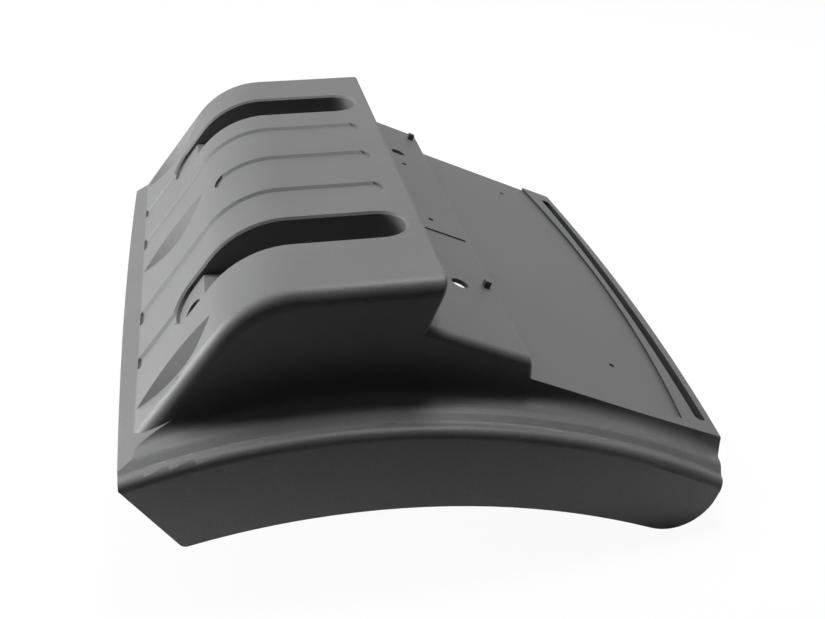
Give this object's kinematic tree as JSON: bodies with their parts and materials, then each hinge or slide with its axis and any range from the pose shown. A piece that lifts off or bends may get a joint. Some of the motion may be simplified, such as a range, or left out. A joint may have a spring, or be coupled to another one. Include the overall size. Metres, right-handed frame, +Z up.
{
  "type": "truck mudguard",
  "caption": "Moulded top section of a truck wheel-arch mudguard: a tall ribbed box with slots, a drilled shelf and sloping deck, and a rolled ledge with an arched skirt.",
  "frame": {"origin": "Midway between the two fixing holes, on the upper face of the shelf.", "axes": "X runs along the truck towards the low end of the deck, Y runs across it from the outer side wall to the inner one, Z is up with the box's flat top level."},
  "size_m": [0.512, 0.5793, 0.2207],
  "materials": {
    "moulded_plastic": "dark grey polypropylene with a fine moulded grain"
  },
  "bodies": {
    "root": {"mudguard_shell": "moulded_plastic"}
  },
  "joints": []
}
